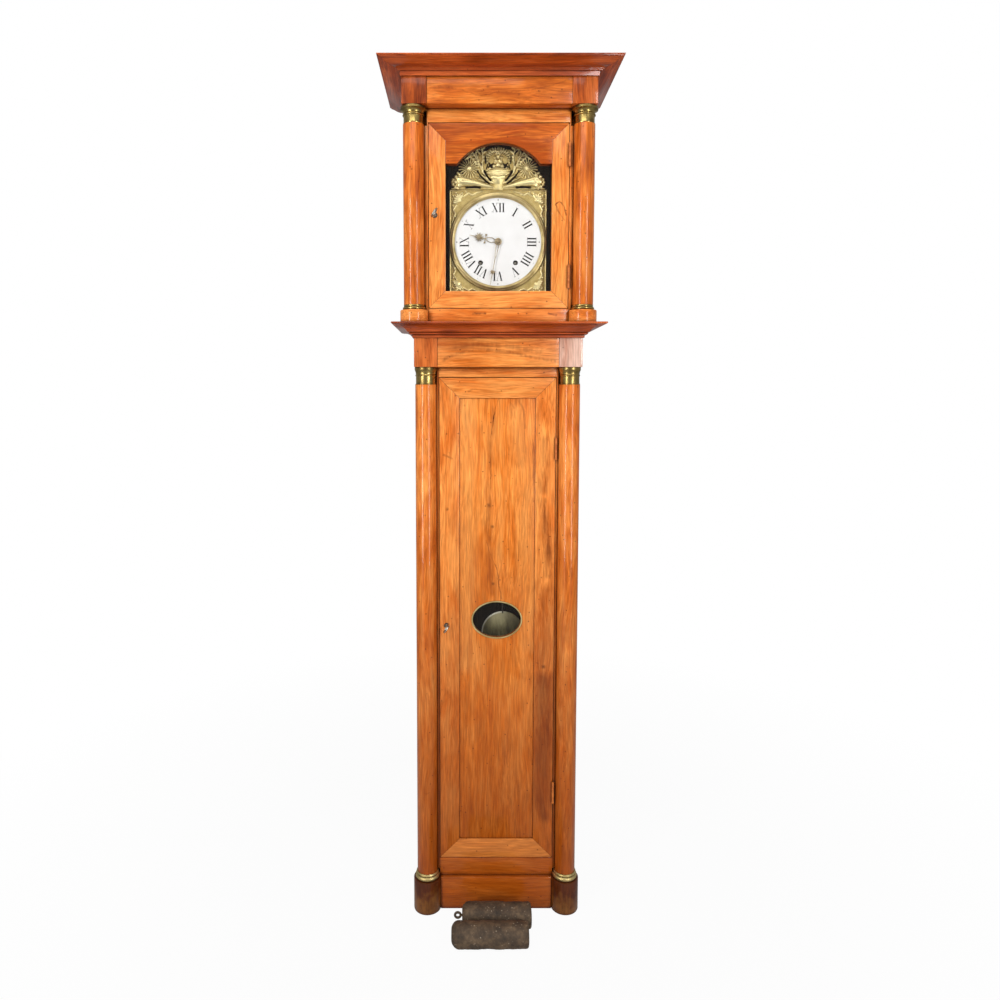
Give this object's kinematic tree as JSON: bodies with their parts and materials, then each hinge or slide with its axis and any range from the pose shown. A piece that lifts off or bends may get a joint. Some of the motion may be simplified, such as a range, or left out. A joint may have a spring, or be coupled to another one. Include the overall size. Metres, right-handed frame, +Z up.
{
  "type": "longcase clock",
  "caption": "Tall wooden longcase clock with corner columns, glazed hood door over an enamel dial, panelled trunk door with an oval window, and cast weights on the floor.",
  "frame": {"origin": "on the floor, at the middle of the back face that stands against the wall", "axes": "+Z up, +Y to the wall, +X to the right as seen from the front, so the dial looks along -Y"},
  "size_m": [0.607, 0.412, 2.268],
  "materials": {
    "walnut": "polished",
    "dark_walnut": "polished",
    "inner_wood": "unpolished",
    "brass": "aged",
    "iron": "rough",
    "steel": "worn",
    "glass": "clear",
    "enamel": "glossy"
  },
  "bodies": {
    "case": {"foot_blocks": "dark_walnut", "column_rings": "brass", "column_capitals": "brass", "trunk_columns": "walnut", "hood_blocks": "dark_walnut", "hood_columns": "walnut", "plinth_board": "walnut", "trunk_posts": "walnut", "trunk_rails": "walnut", "trunk_sides": "walnut", "trunk_dies": "walnut", "trunk_frieze": "walnut", "waist_cornice": "walnut", "back_boards": "inner_wood", "floor_boards": "inner_wood", "hood_posts": "walnut", "hood_rails": "walnut", "hood_sides": "walnut", "hood_dies": "walnut", "hood_frieze": "walnut", "top_cornice": "walnut", "hood_top": "inner_wood", "seat_board": "inner_wood", "fixed_hinges": "brass", "dial_surround": "brass", "enamel_dial": "enamel", "dial_bezel": "brass", "movement_cage": "steel", "bell": "brass"},
    "hood_door": {"hood_door_frame": "walnut", "hood_door_glass": "glass", "hood_door_hinges": "brass", "hood_door_lock": "steel"},
    "hood_key": {"hood_key": "steel"},
    "trunk_door": {"trunk_door_frame": "walnut", "trunk_door_panel": "walnut", "oval_rim": "brass", "oval_glass": "glass", "trunk_door_hinges": "brass", "trunk_door_lock": "steel"},
    "trunk_key": {"trunk_key": "steel"},
    "minute_hand": {"minute_hand": "brass", "cannon_arbor": "steel"},
    "drive_wheel": {"drive_wheel": "brass"},
    "motion_wheel": {"motion_wheel": "brass"},
    "hour_hand": {"hour_hand": "brass", "hour_wheel": "brass"},
    "great_wheel": {"great_wheel": "brass"},
    "second_wheel": {"second_wheel": "brass"},
    "third_wheel": {"third_wheel": "brass"},
    "escape_wheel": {"escape_wheel": "brass"},
    "pendulum": {"anchor": "steel", "pendulum_rod": "steel", "pendulum_bob": "brass"},
    "strike_great_wheel": {"strike_great_wheel": "brass"},
    "pin_wheel": {"pin_wheel": "brass"},
    "fly": {"fly": "brass"},
    "hammer": {"hammer": "steel"},
    "front_weight": {"front_weight": "iron"},
    "rear_weight": {"rear_weight": "iron"}
  },
  "joints": [
    {"name": "hood_door_hinge", "type": "hinge", "parent": "case", "child": "hood_door", "pos_m": [0.18205, -0.259, 1.9], "axis": [0, 0, 1], "range_deg": [0, 95]},
    {"name": "trunk_door_hinge", "type": "hinge", "parent": "case", "child": "trunk_door", "pos_m": [0.15725, -0.229, 0.81], "axis": [0, 0, 1], "range_deg": [0, 95]},
    {"name": "hood_key_turn", "type": "hinge", "parent": "hood_door", "child": "hood_key", "pos_m": [-0.1658, -0.255, 1.903], "axis": [0, 1, 0], "range_deg": [0, 180]},
    {"name": "trunk_key_turn", "type": "hinge", "parent": "trunk_door", "child": "trunk_key", "pos_m": [-0.1375, -0.225, 0.8087], "axis": [0, 1, 0], "range_deg": [0, 180]},
    {"name": "minute_turn", "type": "hinge", "parent": "case", "child": "minute_hand", "pos_m": [0, -0.1, 1.8413], "axis": [0, 1, 0], "continuous": true},
    {"name": "drive_turn", "type": "hinge", "parent": "case", "child": "drive_wheel", "pos_m": [-0.01736, -0.1, 1.82473], "axis": [0, 1, 0], "continuous": true},
    {"name": "motion_turn", "type": "hinge", "parent": "case", "child": "motion_wheel", "pos_m": [0, -0.1, 1.8788], "axis": [0, 1, 0], "continuous": true},
    {"name": "hour_turn", "type": "hinge", "parent": "case", "child": "hour_hand", "pos_m": [0, -0.1, 1.8413], "axis": [0, 1, 0], "continuous": true},
    {"name": "third_turn", "type": "hinge", "parent": "case", "child": "third_wheel", "pos_m": [0.00998, -0.1, 1.85112], "axis": [0, 1, 0], "continuous": true},
    {"name": "second_turn", "type": "hinge", "parent": "case", "child": "second_wheel", "pos_m": [-0.01736, -0.1, 1.82473], "axis": [0, 1, 0], "continuous": true},
    {"name": "great_turn", "type": "hinge", "parent": "case", "child": "great_wheel", "pos_m": [-0.0462, -0.1, 1.7873], "axis": [0, 1, 0], "continuous": true},
    {"name": "escape_turn", "type": "hinge", "parent": "case", "child": "escape_wheel", "pos_m": [0.019, -0.1, 1.8813], "axis": [0, 1, 0], "continuous": true},
    {"name": "pendulum_swing", "type": "hinge", "parent": "case", "child": "pendulum", "pos_m": [0.019, -0.1, 1.9063], "axis": [0, 1, 0], "range_deg": [-3, 3]},
    {"name": "pin_turn", "type": "hinge", "parent": "case", "child": "pin_wheel", "pos_m": [0.06785, -0.1, 1.8293], "axis": [0, 1, 0], "continuous": true},
    {"name": "strike_great_turn", "type": "hinge", "parent": "case", "child": "strike_great_wheel", "pos_m": [0.0462, -0.1, 1.7873], "axis": [0, 1, 0], "continuous": true},
    {"name": "fly_turn", "type": "hinge", "parent": "case", "child": "fly", "pos_m": [0.06785, -0.1, 1.8653], "axis": [0, 1, 0], "continuous": true},
    {"name": "hammer_swing", "type": "hinge", "parent": "case", "child": "hammer", "pos_m": [-0.07, -0.05, 1.9], "axis": [0, 0, 1], "range_deg": [-20, 4]},
    {"name": "front_weight_lift", "type": "slide", "parent": "case", "child": "front_weight", "axis": [0, 0, 1], "range_m": [0, 0.07]},
    {"name": "rear_weight_lift", "type": "slide", "parent": "case", "child": "rear_weight", "axis": [0, 0, 1], "range_m": [0, 0.07]}
  ],
  "couplings": [
    {"joint": "drive_turn", "follows": "minute_turn", "ratio": -1},
    {"joint": "motion_turn", "follows": "minute_turn", "ratio": -0.25},
    {"joint": "hour_turn", "follows": "minute_turn", "ratio": 0.083333},
    {"joint": "second_turn", "follows": "third_turn", "ratio": -0.14286},
    {"joint": "great_turn", "follows": "third_turn", "ratio": 0.017857},
    {"joint": "escape_turn", "follows": "third_turn", "ratio": -6},
    {"joint": "strike_great_turn", "follows": "pin_turn", "ratio": -0.125},
    {"joint": "fly_turn", "follows": "pin_turn", "ratio": -7}
  ]
}
